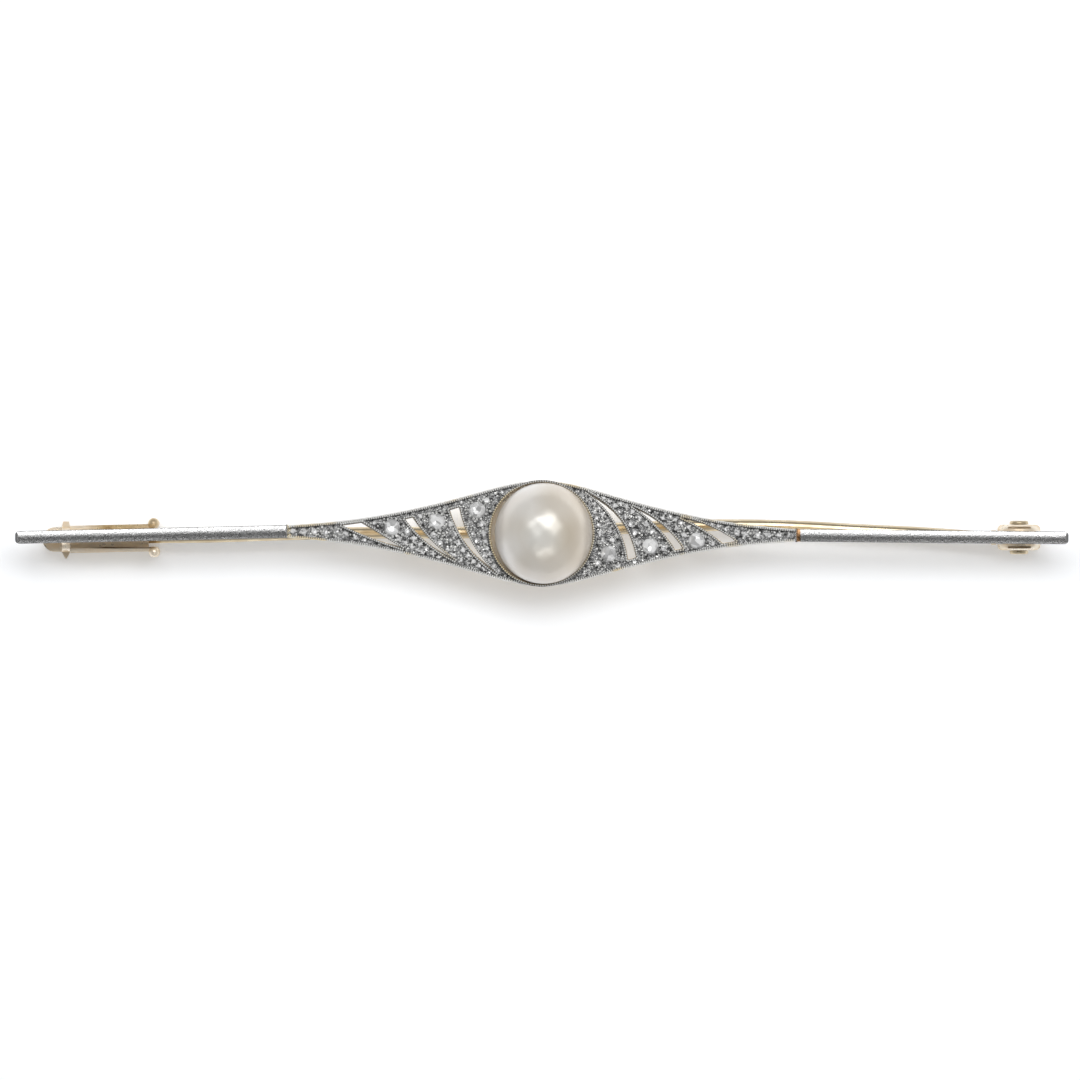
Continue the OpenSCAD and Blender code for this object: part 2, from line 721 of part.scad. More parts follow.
module stone_left_1() { main_stone_node(-1, 0); }
module stone_left_2() { main_stone_node(-1, 1); }
module stone_left_3() { main_stone_node(-1, 2); }
module stone_right_1() { main_stone_node(1, 0); }
module stone_right_2() { main_stone_node(1, 1); }
module stone_right_3() { main_stone_node(1, 2); }
module small_stones_left() { small_stones(-1); }
module small_stones_right() { small_stones(1); }

module hinge_rivet() {
    reach = ear_span / 2 + piece_gap;
    color(gold) translate([hinge_x, hinge_y, hinge_z]) {
        rotate([90, 0, 0])
            cylinder(r = rivet_r, h = 2 * reach + fuse, center = true, $fn = round_fn);
        for (s = [-1, 1])
            rotate([-90 * s, 0, 0]) translate([0, 0, reach]) round_disc(head_r, head_t, head_edge_r);
    }
}

// Share of the stem's bow at even steps from the hinge to the point
STEM_BOW = [0, 0.36, 0.62, 0.91, 1, 0.87, 0.67, 0.53, 0.47, 0.48, 0.42, 0.28, 0.13, 0.02, 0];
stem_rings = 40;
stem_sides = 16;

function stem_at(u) =
    let (v = u * (len(STEM_BOW) - 1))
    let (i = min(floor(v), len(STEM_BOW) - 2))
    let (at = function (k) STEM_BOW[max(0, min(k, len(STEM_BOW) - 1))])
    through(at(i - 1), at(i), at(i + 1), at(i + 2), v - i);
function stem_point(x) =
    let (u = (stem_start - x) / (stem_start - tip_x))
    [
        x,
        hinge_y + (catch_y - hinge_y) * u + stem_bow * stem_at(u),
        hinge_z + (catch_z - hinge_z) * u
    ];
function stem_radius(x) =
    let (left = x - tip_x)
    left > thick_from ? stem_r
        : left < point_len ? stem_point_r + (stem_thin_r - stem_point_r) * left / point_len
        : stem_thin_r
            + (stem_r - stem_thin_r) * (left - point_len) / (thick_from - point_len);
STEM_X = concat(
    [for (k = [0:stem_rings]) stem_start + (tip_x + point_len - stem_start) * k / stem_rings],
    [tip_x + point_len / 2, tip_x]
);

module stem() {
    n = stem_sides;
    last = len(STEM_X) - 1;
    points = [for (x = STEM_X) let (c = stem_point(x), r = stem_radius(x))
        each [for (k = [0:n - 1]) c + r * [0, cos(360 * k / n), sin(360 * k / n)]]];
    sides = [for (i = [0:last - 1]) for (k = [0:n - 1]) let (j = (k + 1) % n)
        each [
            [i * n + k, i * n + j, (i + 1) * n + j],
            [i * n + k, (i + 1) * n + j, (i + 1) * n + k]
        ]];
    ends = [[for (k = [n - 1:-1:0]) k], [for (k = [0:n - 1]) last * n + k]];
    polyhedron(points, concat(sides, ends));
}

module pin_stem() {
    color(gold) {
        translate([hinge_x, hinge_y, hinge_z]) difference() {
            union() {
                rotate([90, 0, 0])
                    cylinder(r = knuckle_r, h = knuckle_w, center = true, $fn = round_fn);
                translate([stem_start - hinge_x, -knuckle_w / 2, -stem_r])
                    cube([hinge_x - stem_start, knuckle_w, 2 * stem_r]);
            }
            rotate([90, 0, 0])
                cylinder(r = rivet_r + rivet_play, h = 2 * knuckle_w, center = true, $fn = round_fn);
        }
        translate([stem_start, hinge_y, hinge_z])
            rotate([0, 90, 0]) cylinder(r = stem_shoulder_r, h = stem_shoulder_len, $fn = round_fn);
        stem();
    }
}

// A lug on the collar, as wide as the collar and tapered to a share of that
module lug(reach, end_share) {
    foot = tube_r + collar_play + fuse;
    side = collar_w / 2;
    linear_extrude(lug_t, center = true)
        polygon([
            [-side, foot], [side, foot], [side, collar_r],
            [end_share * side, reach], [-end_share * side, reach], [-side, collar_r]
        ]);
}

// Widths of the lugs' ends as shares of the collar's length
blunt_share = 0.75;
point_share = 0.2;

module safety_collar() {
    color(gold) translate([collar_x + collar_w / 2, catch_y, catch_z]) {
        difference() {
            rotate([0, 90, 0]) cylinder(r = collar_r, h = collar_w, center = true, $fn = round_fn);
            rotate([0, 90, 0])
                cylinder(r = tube_r + collar_play, h = 2 * collar_w, center = true, $fn = round_fn);
            translate([-collar_w, -pin_way_w / 2, -collar_r - past])
                cube([2 * collar_w, pin_way_w, collar_r + past]);
        }
        lug(blunt_reach, blunt_share);
        mirror([0, 1, 0]) lug(point_reach, point_share);
    }
}

platinum_front();
gold_back();
pearl();
stone_left_1();
stone_left_2();
stone_left_3();
stone_right_1();
stone_right_2();
stone_right_3();
small_stones_left();
small_stones_right();
hinge_rivet();
pin_stem();
safety_collar();
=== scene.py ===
"""Looks of the bar brooch: finishes, milgrain, setting grains, pearl, studio and camera."""
import math
import random

import bpy
import numpy as np
from mathutils import Euler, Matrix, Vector
from mathutils.noise import noise as perlin


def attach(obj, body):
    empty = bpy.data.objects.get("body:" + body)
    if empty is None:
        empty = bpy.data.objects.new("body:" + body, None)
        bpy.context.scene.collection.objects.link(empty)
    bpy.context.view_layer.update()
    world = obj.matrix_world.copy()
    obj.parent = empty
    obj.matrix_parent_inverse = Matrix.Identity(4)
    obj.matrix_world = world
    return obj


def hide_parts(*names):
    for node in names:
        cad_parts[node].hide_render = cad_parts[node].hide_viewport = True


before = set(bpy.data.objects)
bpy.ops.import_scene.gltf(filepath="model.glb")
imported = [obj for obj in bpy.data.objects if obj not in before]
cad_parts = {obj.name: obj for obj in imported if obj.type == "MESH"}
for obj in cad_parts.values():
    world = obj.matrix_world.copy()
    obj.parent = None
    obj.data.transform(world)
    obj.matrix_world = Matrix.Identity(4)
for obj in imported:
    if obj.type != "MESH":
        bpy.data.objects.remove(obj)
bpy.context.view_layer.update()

MM = 0.001
random.seed(11)

# Layout of the plaque in millimetres, as the part has it
HALF_LEN = 18.85
HALF_W = 3.92
BAR_W = 0.94
RIM_W = 0.2
BAND_W = 0.14
TURN = math.radians(-0.43)
FLOOR_Z = 4.62
RIM_Z = 4.9
COLLET_R = 3.95
COLLET_Z = 5.22
PEARL = {"r": 3.63, "across": 3.74, "top": 3.2, "back": 2.2, "z": 5.2, "x": 0.14}
EDGE_RISE = [1, 0.91, 0.73, 0.54, 0.375, 0.234, 0.125, 0.05, 0]
# Places of outer, inner and tip corner (0 beside the pearl's setting, 1 at the bar),
# margins at top and tip in rim widths, and bows of both edges
LEFT_WINDOWS = [
    (0.731, 0.628, 0.424, 1.5, 1.9, 0.02, 0),
    (0.416, 0.375, 0.164, 3.0, 2.2, 0.06, 0.05),
    (0.195, 0.144, -0.046, 3.4, 1.8, 0.09, 0.088),
]
RIGHT_WINDOWS = [
    (0.701, 0.632, 0.427, 1.8, 1.5, 0.06, 0.04),
    (0.437, 0.398, 0.184, 2.4, 1.9, 0.08, 0.062),
    (0.206, 0.163, -0.045, 3.0, 1.4, 0.13, 0.11),
]
# Milgrain beads and edge wire in millimetres; offsets lie inward from the edge they follow
BEAD_SIDES = 8
BEAD_RINGS = 3
OUTLINE_BEADS = {"offset": 0.138, "pitch": 0.165, "radius": 0.066, "z": RIM_Z - 0.01, "height": 0.07}
WINDOW_BEADS = {"offset": 0.08, "pitch": 0.17, "radius": 0.075, "z": RIM_Z - 0.01, "height": 0.09}
COLLET_BEADS = {"inset": 0.01, "pitch": 0.185, "radius": 0.08, "z": COLLET_Z - 0.03, "height": 0.09}
EDGE_WIRE = {"offset": 0.045, "radius": 0.04, "z": RIM_Z - 0.005}
OUTLINE_STEPS = 400
# Window beads keep this far from the outline and from the pearl's setting
WINDOW_TO_OUTLINE = 0.2
WINDOW_TO_COLLET = 0.05
# Least and greatest radius of the grains that hold small stones, hold main stones and fill the ground
SMALL_HOLD_R = (0.06, 0.1)
MAIN_HOLD_R = (0.07, 0.12)
FILL_R = (0.06, 0.13)
SMALL_HOLDS = 4
MAIN_HOLDS = 12
HOLD_JITTER = 0.25
MAIN_GAP = 0.1
FILL_TRIES = 14000
# The ground stays bare where a smooth noise of this scale to a millimetre is below this level
BARE_SCALE = 1.3
BARE_BELOW = -0.28


# Plaque layout

def rise(i):
    """Share of the plaque's full width at the i-th of the even steps out from the middle."""
    return EDGE_RISE[min(abs(i), len(EDGE_RISE) - 1)]


def edge_y(x):
    """Half the plaque's width at x, by a smooth curve through the shares."""
    u = min(abs(x) / HALF_LEN, 1) * (len(EDGE_RISE) - 1)
    i = min(int(u), len(EDGE_RISE) - 2)
    a, b, c, d, t = rise(i - 1), rise(i), rise(i + 1), rise(i + 2), u - i
    share = b + t * (c - a + t * (2 * a - 5 * b + 4 * c - d + t * (3 * (b - c) + d - a))) / 2
    return BAR_W / 2 + (HALF_W - BAR_W / 2) * share


def bowed(a, b, bow, steps=24):
    """Points from a to b along an arc whose middle stands off by bow times its length."""
    a, b = np.array(a), np.array(b)
    mid = (a + b) / 2 + 2 * bow * np.array([b[1] - a[1], a[0] - b[0]])
    t = np.linspace(0, 1, steps + 1)[:, None]
    return (1 - t) ** 2 * a + 2 * t * (1 - t) * mid + t * t * b


def window_edges(win):
    """Outer, inner and top edge of a window, each drawn so that the rim lies on its right."""
    top_margin, tip_margin, outer_bow, inner_bow = win[3:]
    outer_x, inner_x, tip_x = (-COLLET_R - place * (HALF_LEN - COLLET_R) for place in win[:3])
    outer, inner = ((x, edge_y(x) - top_margin * RIM_W) for x in (outer_x, inner_x))
    tip = (tip_x, tip_margin * RIM_W - edge_y(tip_x))
    left = bowed(outer, tip, outer_bow)
    right = bowed(inner, tip, inner_bow)
    return left, right[::-1], bowed(inner, outer, 0)


def half_turn(points, side):
    """The right half of the plaque is the left one's layout turned by 180 degrees."""
    return points if side < 0 else -np.asarray(points)


def to_brooch(points):
    """Plaque coordinates to the brooch's own, in millimetres."""
    c, s = math.cos(TURN), math.sin(TURN)
    return np.asarray(points) @ np.array([[c, s], [-s, c]])


WINDOWS = [(side, win) for side, wins in ((-1, LEFT_WINDOWS), (1, RIGHT_WINDOWS)) for win in wins]


# Materials

def node_material(name):
    mat = bpy.data.materials.new(name)
    mat.use_nodes = True
    nodes, links = mat.node_tree.nodes, mat.node_tree.links
    return mat, nodes, links, nodes["Principled BSDF"]


def noise(nodes, links, scale, detail=3, roughness=0.5):
    """A noise in the object's own coordinates, with scale in cycles per millimetre."""
    coords = nodes.new("ShaderNodeTexCoord")
    mapping = nodes.new("ShaderNodeMapping")
    mapping.inputs["Scale"].default_value = (1 / MM,) * 3
    links.new(coords.outputs["Object"], mapping.inputs["Vector"])
    tex = nodes.new("ShaderNodeTexNoise")
    tex.inputs["Scale"].default_value = scale
    tex.inputs["Detail"].default_value = detail
    tex.inputs["Roughness"].default_value = roughness
    links.new(mapping.outputs["Vector"], tex.inputs["Vector"])
    return tex.outputs["Fac"]


def ramp(nodes, links, source, stops, interpolation="LINEAR"):
    """Colours or greys at places from 0 to 1 of the source's value."""
    node = nodes.new("ShaderNodeValToRGB")
    node.color_ramp.interpolation = interpolation
    elements = node.color_ramp.elements
    while len(elements) < len(stops):
        elements.new(0.5)
    for element, (at, colour) in zip(elements, stops):
        element.position = at
        element.color = (*colour, 1) if isinstance(colour, tuple) else (colour, colour, colour, 1)
    links.new(source, node.inputs["Fac"])
    return node.outputs["Color"]


def along_axis(nodes, links, axis, low, high):
    """The object's own coordinate on an axis, from 0 at low to 1 at high, in millimetres."""
    coords = nodes.new("ShaderNodeTexCoord")
    place = nodes.new("ShaderNodeSeparateXYZ")
    links.new(coords.outputs["Object"], place.inputs["Vector"])
    share = nodes.new("ShaderNodeMapRange")
    share.inputs["From Min"].default_value = low * MM
    share.inputs["From Max"].default_value = high * MM
    links.new(place.outputs[axis], share.inputs["Value"])
    return share.outputs["Result"]


def blend(nodes, links, factor, first, second, kind="MIX"):
    """The first colour changed towards the second by a factor."""
    mix = nodes.new("ShaderNodeMix")
    mix.data_type = "RGBA"
    mix.blend_type = kind
    if isinstance(factor, (int, float)):
        mix.inputs["Factor"].default_value = factor
    else:
        links.new(factor, mix.inputs["Factor"])
    for socket, source in (("A", first), ("B", second)):
        if isinstance(source, tuple):
            mix.inputs[socket].default_value = (*source, 1)
        else:
            links.new(source, mix.inputs[socket])
    return mix.outputs["Result"]


def way_faced(nodes, links):
    """How far a surface faces each of the object's own axes."""
    coords = nodes.new("ShaderNodeTexCoord")
    facing = nodes.new("ShaderNodeSeparateXYZ")
    links.new(coords.outputs["Normal"], facing.inputs["Vector"])
    return facing.outputs


def bump(nodes, links, shader, height, strength, distance):
    node = nodes.new("ShaderNodeBump")
    node.inputs["Strength"].default_value = strength
    node.inputs["Distance"].default_value = distance * MM
    links.new(height, node.inputs["Height"])
    links.new(node.outputs["Normal"], shader.inputs["Normal"])


def vector_step(nodes, links, operation, *sources):
    node = nodes.new("ShaderNodeVectorMath")
    node.operation = operation
    for socket, source in zip(node.inputs, sources):
        if isinstance(source, tuple):
            socket.default_value = source
        else:
            links.new(source, socket)
    return node.outputs["Vector"]


def facets(nodes, links, shader, scale, lean):
    """Small flat faces, so many to a millimetre, that lean each its own way; gives their shares."""
    coords = nodes.new("ShaderNodeTexCoord")
    cells = nodes.new("ShaderNodeTexVoronoi")
    cells.inputs["Scale"].default_value = scale / MM
    links.new(coords.outputs["Object"], cells.inputs["Vector"])
    colour = cells.outputs["Color"]
    leans = vector_step(nodes, links, "MULTIPLY_ADD", colour, (2 * lean,) * 3, (-lean,) * 3)
    surface = nodes.new("ShaderNodeNewGeometry")
    turned = vector_step(nodes, links, "ADD", surface.outputs["True Normal"], leans)
    links.new(vector_step(nodes, links, "NORMALIZE", turned), shader.inputs["Normal"])
    return colour


def stem_material():
    """Worn gold of the pin and its rivet: tone and gloss vary with one noise, the skin with a finer one."""
    mat, nodes, links, shader = node_material("stem_gold")
    shader.inputs["Metallic"].default_value = 1
    wear = noise(nodes, links, 0.8, 4, 0.6)
    tone = ramp(nodes, links, wear, [(0.3, (0.62, 0.50, 0.33)), (0.7, (0.80, 0.69, 0.50))])
    links.new(tone, shader.inputs["Base Color"])
    links.new(ramp(nodes, links, wear, [(0.35, 0.36), (0.65, 0.24)]), shader.inputs["Roughness"])
    bump(nodes, links, shader, noise(nodes, links, 2.4, 3, 0.6), 0.2, 0.01)
    return mat


def bead_gloss(nodes, links, shader):
    gloss = noise(nodes, links, 3, 2)
    links.new(ramp(nodes, links, gloss, [(0.3, 0.6), (0.7, 0.45)]), shader.inputs["Roughness"])


# Solder beside the plaque's two ends, and half the width of its band
PALE_RIDGE = (0.95, 0.86, 0.66)
COPPER_RIDGE = (0.42, 0.24, 0.12)
HALF_RIDGE = 0.1


def platinum_material():
    """Pitted bars with painted shade on their rounded edges, gold-coloured solder, and a ground under beads
    and grains painted dark: oxide with painted shade.
    """
    mat, nodes, links, shader = node_material("platinum_front")
    shader.inputs["Metallic"].default_value = 1
    pits = noise(nodes, links, 6, 5, 0.75)
    bright = ramp(nodes, links, pits, [(0.3, 0.44), (0.5, 0.6), (0.7, 0.8)])
    # Mottle of the plaque's dark ground: oxide and painted shade
    oxide_and_shade_mottle = noise(nodes, links, 3, 4, 0.7)
    dark = ramp(nodes, links, oxide_and_shade_mottle, [(0.4, (0.08, 0.08, 0.08)), (0.6, (0.9, 0.9, 0.9))])
    facing = way_faced(nodes, links)
    # Rounded edges are painted dark as painted shade, flat tops and upright sides are not
    edge_shade = ramp(nodes, links, facing["Z"], [(0.1, 1.0), (0.25, 0.26), (0.72, 0.26), (0.95, 1.0)])
    tone = blend(nodes, links, 1, bright, edge_shade, "MULTIPLY")
    # The edge on the pin's side has a darker painted line of shade
    line = ramp(nodes, links, facing["Y"], [(0.6, 1.0), (0.72, 0.15), (0.97, 0.15), (0.995, 1.0)])
    rounded = ramp(nodes, links, facing["Z"], [(0.1, 0.0), (0.25, 1.0), (0.72, 1.0), (0.95, 0.0)])
    tone = blend(nodes, links, rounded, tone, blend(nodes, links, 1, tone, line, "MULTIPLY"))
    # In the plaque, the floor and the tops of the rims between the beads are painted dark: painted shade,
    # with oxide on the floor
    up = ramp(nodes, links, facing["Z"], [(0.9, 0.0), (0.96, 1.0)])
    reach = along_axis(nodes, links, "X", -HALF_LEN, HALF_LEN)
    plaque = ramp(nodes, links, reach, [(0, 0.0), (0.004, 1.0), (0.996, 0.0)], "CONSTANT")
    shaded_open_tops = blend(nodes, links, 1, up, plaque, "MULTIPLY")
    height = along_axis(nodes, links, "Z", FLOOR_Z, RIM_Z)
    ground = blend(nodes, links, height, dark, (0.26, 0.25, 0.24))
    tone = blend(nodes, links, shaded_open_tops, tone, ground)
    along_bar = along_axis(nodes, links, "X", -2 * HALF_LEN, 2 * HALF_LEN)
    half_ridge = HALF_RIDGE / (4 * HALF_LEN)
    for middle, colour in ((0.25, PALE_RIDGE), (0.75, COPPER_RIDGE)):
        stops = [(0, 0.0), (middle - half_ridge, 1.0), (middle + half_ridge, 0.0)]
        band = ramp(nodes, links, along_bar, stops, "CONSTANT")
        tone = blend(nodes, links, band, tone, colour)
    links.new(tone, shader.inputs["Base Color"])
    links.new(ramp(nodes, links, pits, [(0.35, 0.34), (0.65, 0.2)]), shader.inputs["Roughness"])
    bump(nodes, links, shader, pits, 0.8, 0.02)
    return mat


def back_gold_material():
    """Satin gold with worn, mottled tones and tops painted pale as painted light; the catch's upper cheek
    and the pearl's cup are a darker brown.
    """
    mat, nodes, links, shader = node_material("gold_back")
    shader.inputs["Metallic"].default_value = 0.65
    wear = noise(nodes, links, 1.4, 4, 0.6)
    pale = ramp(nodes, links, wear, [(0.3, (0.88, 0.74, 0.56)), (0.7, (0.98, 0.90, 0.77))])
    brown = ramp(nodes, links, wear, [(0.35, (0.36, 0.24, 0.11)), (0.65, (0.70, 0.54, 0.29))])
    plain = ramp(nodes, links, wear, [(0.3, (0.76, 0.60, 0.38)), (0.7, (0.90, 0.76, 0.54))])
    across = along_axis(nodes, links, "Y", -2, 2)
    catch = ramp(nodes, links, along_axis(nodes, links, "X", -40, 0), [(0.15, 0.0), (0.19, 1.0), (0.5, 0.0)])
    upper = blend(nodes, links, 1, ramp(nodes, links, across, [(0.55, 0.0), (0.57, 1.0)]), catch, "MULTIPLY")
    cup = ramp(nodes, links, along_axis(nodes, links, "Z", 0, 10), [(0.425, 0.0), (0.43, 1.0)])
    tone = blend(nodes, links, blend(nodes, links, 1, upper, cup, "LIGHTEN"), pale, brown)
    # A painted shadow makes a dark line where the lower cheek meets the web
    painted_shadow_line = ramp(nodes, links, across, [(0.215, 0.0), (0.225, 1.0), (0.245, 1.0), (0.255, 0.0)])
    painted_shadow_line = blend(nodes, links, 1, painted_shadow_line, catch, "MULTIPLY")
    tone = blend(nodes, links, painted_shadow_line, tone, (0.16, 0.1, 0.05))
    # Only what faces up gets these tones, and the pale tops are painted light; the sides stay an even gold
    facing = way_faced(nodes, links)
    up = ramp(nodes, links, facing["Z"], [(0.2, 0.0), (0.5, 1.0)])
    links.new(blend(nodes, links, up, plain, tone), shader.inputs["Base Color"])
    links.new(ramp(nodes, links, wear, [(0.35, 0.42), (0.65, 0.26)]), shader.inputs["Roughness"])
    bump(nodes, links, shader, noise(nodes, links, 3, 3, 0.6), 0.6, 0.03)
    return mat


def grain_material():
    """Bright faceted chips with a few dark spots."""
    mat, nodes, links, shader = node_material("platinum_grain")
    shader.inputs["Metallic"].default_value = 0.55
    spots = noise(nodes, links, 2.2, 3)
    tone = ramp(nodes, links, spots, [(0.36, (0.2, 0.2, 0.2)), (0.47, (1.0, 1.0, 0.98))])
    links.new(tone, shader.inputs["Base Color"])
    gloss = noise(nodes, links, 3, 2)
    links.new(ramp(nodes, links, gloss, [(0.3, 0.4), (0.7, 0.18)]), shader.inputs["Roughness"])
    facets(nodes, links, shader, 7, 0.4)
    return mat


def milgrain_material():
    """Beads of platinum, worn through to the gold in places."""
    mat, nodes, links, shader = node_material("platinum_milgrain")
    shader.inputs["Metallic"].default_value = 0.6
    worn = noise(nodes, links, 0.32, 3, 0.6)
    tone = ramp(nodes, links, worn, [(0.54, (0.9, 0.9, 0.88)), (0.64, (0.92, 0.82, 0.62))])
    links.new(tone, shader.inputs["Base Color"])
    bead_gloss(nodes, links, shader)
    return mat


def collet_material():
    """The pearl's setting: gold on the left, grey above and below, cream on the right."""
    mat, nodes, links, shader = node_material("gold_milgrain")
    shader.inputs["Metallic"].default_value = 0.6
    across = along_axis(nodes, links, "X", -COLLET_R, COLLET_R)
    gold, grey, cream = (0.90, 0.80, 0.58), (0.72, 0.72, 0.70), (0.93, 0.88, 0.74)
    stops = [(0.0, gold), (0.16, gold), (0.3, grey), (0.75, grey), (0.9, cream)]
    tone = ramp(nodes, links, across, stops)
    grime = ramp(nodes, links, noise(nodes, links, 1.4, 3), [(0.3, (0.8, 0.79, 0.77)), (0.6, (1, 1, 1))])
    links.new(blend(nodes, links, 1, tone, grime, "MULTIPLY"), shader.inputs["Base Color"])
    bead_gloss(nodes, links, shader)
    return mat


def pearl_material():
    """Grey-cream nacre with a painted sheen, paler at the rim, and a little beige on the right."""
    mat, nodes, links, shader = node_material("pearl")
    # Painted sheen: the tone follows how squarely the skin faces the view, paler towards the rim
    facing = nodes.new("ShaderNodeLayerWeight")
    facing.inputs["Blend"].default_value = 0.5
    rings = [(0.0, (0.80, 0.79, 0.75)), (0.12, (0.74, 0.71, 0.66)),
             (0.55, (0.84, 0.81, 0.78)), (1.0, (0.93, 0.91, 0.89))]
    nacre_and_rim_sheen = ramp(nodes, links, facing.outputs["Facing"], rings)
    beige = ramp(nodes, links, along_axis(nodes, links, "X", -PEARL["r"], PEARL["r"]),
                 [(0.4, (1, 1, 1)), (0.85, (0.96, 0.90, 0.81))])
    mist = noise(nodes, links, 0.4, 0)
    clouds = ramp(nodes, links, mist, [(0.35, (0.86, 0.83, 0.78)), (0.65, (1, 1, 1))])
    tone = blend(nodes, links, 1, blend(nodes, links, 1, nacre_and_rim_sheen, beige, "MULTIPLY"), clouds, "MULTIPLY")
    links.new(tone, shader.inputs["Base Color"])
    shader.inputs["Metallic"].default_value = 0.3
    shader.inputs["Roughness"].default_value = 0.34
    shader.inputs["Specular IOR Level"].default_value = 0.9
    shader.inputs["Coat Weight"].default_value = 0.3
    shader.inputs["Coat Roughness"].default_value = 0.32
    return mat


def diamond_material(name, tone, scale, lean, dark):
    """Cut stones: small leaning faces, some of them painted darker as painted dark reflections."""
    mat, nodes, links, shader = node_material(name)
    clouds = noise(nodes, links, 1.7, 2)
    shade = ramp(nodes, links, clouds, [(0.3, tuple(0.85 * t for t in tone)), (0.7, tone)])
    shares = facets(nodes, links, shader, scale, lean)
    # Some faces are painted darker, as painted dark reflections
    painted_facet_shade = ramp(nodes, links, shares, [(0.34, dark), (0.42, 0.9), (0.5, 1.0)])
    links.new(blend(nodes, links, 1, shade, painted_facet_shade, "MULTIPLY"), shader.inputs["Base Color"])
    shader.inputs["Roughness"].default_value = 0.06
    shader.inputs["IOR"].default_value = 2.4
    shader.inputs["Transmission Weight"].default_value = 0.1
    return mat


PLATINUM = platinum_material()
GRAIN = grain_material()
MILGRAIN = milgrain_material()
BACK_GOLD = back_gold_material()
STEM_GOLD = stem_material()
COLLET_GOLD = collet_material()
DIAMOND = diamond_material("diamond", (0.98, 0.98, 0.98), 2.8, 0.3, 0.6)
SMALL_DIAMOND = diamond_material("small_diamond", (0.96, 0.96, 0.96), 5.5, 0.34, 0.4)
PEARL_MATERIAL = pearl_material()


def dress(node, mat):
    """Gives a CAD node its material."""
    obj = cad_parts[node]
    for slot in obj.material_slots:
        slot.material = mat
    if not obj.material_slots:
        obj.data.materials.append(mat)


def add_piece(name, vertices, faces, mat, body, smooth=True):
    """A mesh in millimetres that rides on a body."""
    mesh = bpy.data.meshes.new(name)
    mesh.from_pydata([tuple(v) for v in np.asarray(vertices) * MM], [], faces)
    mesh.materials.append(mat)
    if smooth:
        mesh.polygons.foreach_set("use_smooth", [True] * len(mesh.polygons))
    obj = bpy.data.objects.new(name, mesh)
    bpy.context.scene.collection.objects.link(obj)
    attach(obj, body)
    return obj


# Beads and grains

def dome(sides, rings):
    """A dome of radius 1 on a short stem: vertices and faces."""
    points = [(0, 0, 1)]
    for j in range(1, rings + 1):
        a = math.pi / 2 * j / rings
        points += [(math.sin(a) * math.cos(2 * math.pi * k / sides),
                    math.sin(a) * math.sin(2 * math.pi * k / sides), math.cos(a)) for k in range(sides)]
    points += [(x, y, -0.6) for x, y, _ in points[-sides:]]
    faces = [(0, 1 + k, 1 + (k + 1) % sides) for k in range(sides)]
    for j in range(rings):
        a, b = 1 + j * sides, 1 + (j + 1) * sides
        faces += [(a + k, b + k, b + (k + 1) % sides, a + (k + 1) % sides) for k in range(sides)]
    faces.append(tuple(reversed([1 + rings * sides + k for k in range(sides)])))
    return np.array(points), faces


def bead_piece(name, beads, mat):
    """One mesh of many domes; a bead is (x, y, z of its foot circle, radius, height)."""
    shape, faces = dome(BEAD_SIDES, BEAD_RINGS)
    vertices, all_faces = [], []
    for n, (x, y, z, r, h) in enumerate(beads):
        spin = random.uniform(0, 2 * math.pi)
        c, s = math.cos(spin), math.sin(spin)
        px = r * (shape[:, 0] * c - shape[:, 1] * s) + x
        py = r * (shape[:, 0] * s + shape[:, 1] * c) + y
        vertices.append(np.stack([px, py, z + h * shape[:, 2]], 1))
        all_faces += [tuple(i + n * len(shape) for i in f) for f in faces]
    return add_piece(name, np.concatenate(vertices), all_faces, mat, "brooch")


def chip():
    """A many-faced chip of radius 1: the twenty faces of an icosahedron."""
    g = (1 + math.sqrt(5)) / 2
    corners = [(-1, g, 0), (1, g, 0), (-1, -g, 0), (1, -g, 0), (0, -1, g), (0, 1, g), (0, -1, -g),
               (0, 1, -g), (g, 0, -1), (g, 0, 1), (-g, 0, -1), (-g, 0, 1)]
    faces = [(0, 11, 5), (0, 5, 1), (0, 1, 7), (0, 7, 10), (0, 10, 11), (1, 5, 9), (5, 11, 4),
             (11, 10, 2), (10, 7, 6), (7, 1, 8), (3, 9, 4), (3, 4, 2), (3, 2, 6), (3, 6, 8),
             (3, 8, 9), (4, 9, 5), (2, 4, 11), (6, 2, 10), (8, 6, 7), (9, 8, 1)]
    return np.array(corners) / math.hypot(1, g), faces


def chip_piece(name, chips, mat):
    """One mesh of many chips, each turned its own way; a chip is (x, y, z, radius, height)."""
    shape, faces = chip()
    vertices, all_faces = [], []
    for n, (x, y, z, r, h) in enumerate(chips):
        turn = Euler([random.uniform(0, 2 * math.pi) for _ in range(3)]).to_matrix()
        vertices.append(shape @ np.array(turn) * (r, r, h) + (x, y, z))
        all_faces += [tuple(i + n * len(shape) for i in f) for f in faces]
    return add_piece(name, np.concatenate(vertices), all_faces, mat, "brooch", smooth=False)


def along(path, pitch):
    """Points at even spacing along a path, with their directions."""
    path = np.asarray(path)
    steps = np.linalg.norm(np.diff(path, axis=0), axis=1)
    reach = np.concatenate([[0], np.cumsum(steps)])
    count = max(int(round(reach[-1] / pitch)), 1)
    for k in range(count + 1):
        at = reach[-1] * k / count
        i = min(np.searchsorted(reach, at, side="right") - 1, len(steps) - 1)
        t = (at - reach[i]) / max(steps[i], 1e-9)
        yield path[i] + t * (path[i + 1] - path[i]), (path[i + 1] - path[i]) / max(steps[i], 1e-9)


def row(path, offset, pitch, radius, z, height, keep=lambda p: True):
    """Beads of slightly uneven size beside a plaque path, on its right."""
    beads = []
    for p, d in along(path, pitch):
        q = p + offset * np.array([d[1], -d[0]])
        if not keep(q):
            continue
        x, y = to_brooch(q)
        r = radius * random.uniform(0.92, 1.08)
        beads.append((x, y, z, r, height * random.uniform(0.9, 1.1)))
    return beads


